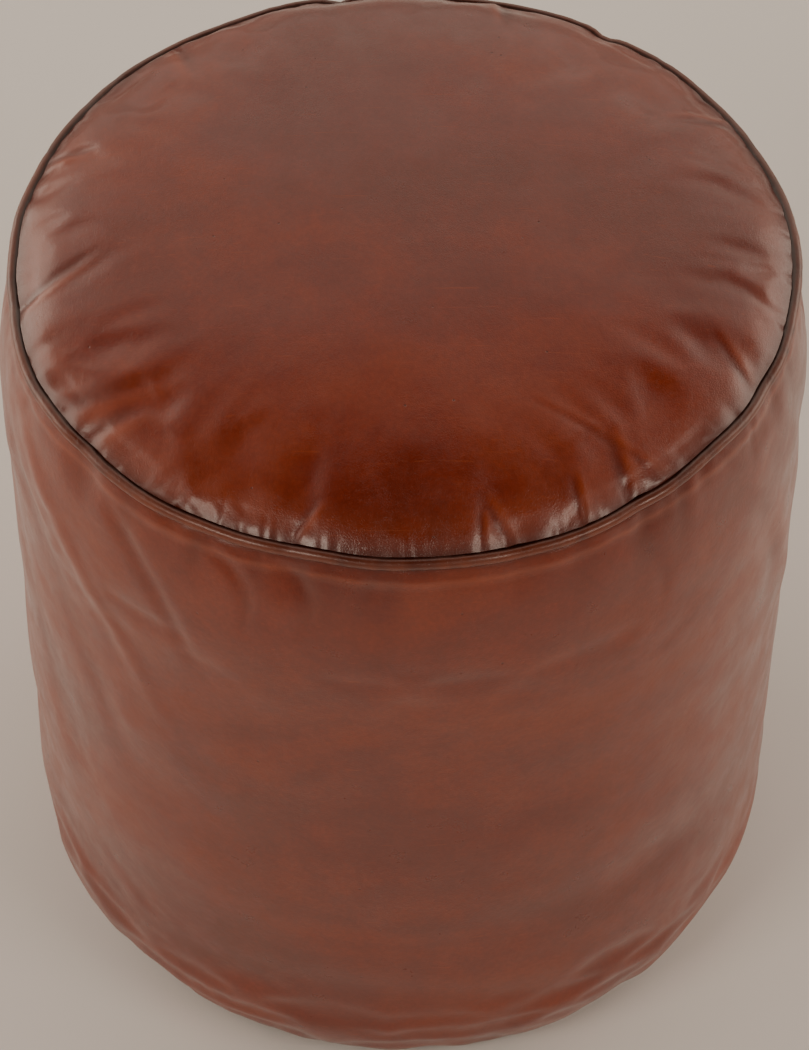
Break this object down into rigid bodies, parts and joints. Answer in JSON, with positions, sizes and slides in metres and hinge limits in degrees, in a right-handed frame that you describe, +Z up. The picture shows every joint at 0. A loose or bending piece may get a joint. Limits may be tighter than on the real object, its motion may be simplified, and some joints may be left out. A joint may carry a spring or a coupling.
{
  "type": "round leather pouf",
  "caption": "Round drum-shaped leather pouf with a domed top, a piped top seam, a rolled-under base and a zipped underside; soft, filled footstool or seat.",
  "frame": {"origin": "middle of the base, on the floor that the pouf stands on", "axes": "+Z up along the pouf's own axis of revolution, +X along the zip in the base towards the closed end where its slider rests, +Y across the zip"},
  "size_m": [0.426, 0.426, 0.48],
  "materials": {
    "cover_leather": "gloss",
    "base_leather": "satin",
    "piping_leather": "gloss",
    "cord_cotton": "matte",
    "zip_tape": "matte",
    "zip_teeth": "satin",
    "zip_metal": "satin",
    "liner_cotton": "matte",
    "stuffing": "matte",
    "thread": "satin"
  },
  "bodies": {
    "pouf": {"top_panel": "cover_leather", "side_panel_front": "cover_leather", "side_panel_back": "cover_leather", "base_panel_front": "base_leather", "base_panel_back": "base_leather", "piping_cover": "piping_leather", "piping_cord": "cord_cotton", "zip_tape_front": "zip_tape", "zip_tape_back": "zip_tape", "zip_teeth_front": "zip_teeth", "zip_teeth_back": "zip_teeth", "zip_bottom_stop": "zip_teeth", "zip_top_stops": "zip_teeth", "liner_top": "liner_cotton", "liner_side": "liner_cotton", "liner_base": "liner_cotton", "filling": "stuffing", "top_seam_thread": "thread", "base_seam_thread": "thread", "side_seam_threads": "thread", "zip_stitches_front": "thread", "zip_stitches_back": "thread", "slot_end_tacks": "thread"},
    "slider": {"zip_slider": "zip_metal"},
    "pull": {"zip_pull": "zip_metal"}
  },
  "joints": [
    {"name": "zip_slide", "type": "slide", "parent": "pouf", "child": "slider", "axis": [-1, 0, 0], "range_m": [0, 0.275], "deforming": ["zip_teeth_front", "zip_teeth_back"]},
    {"name": "pull_hinge", "type": "hinge", "parent": "slider", "child": "pull", "pos_m": [0.142, 0, 0.0046], "axis": [0, -1, 0], "range_deg": [-4, 166]}
  ]
}
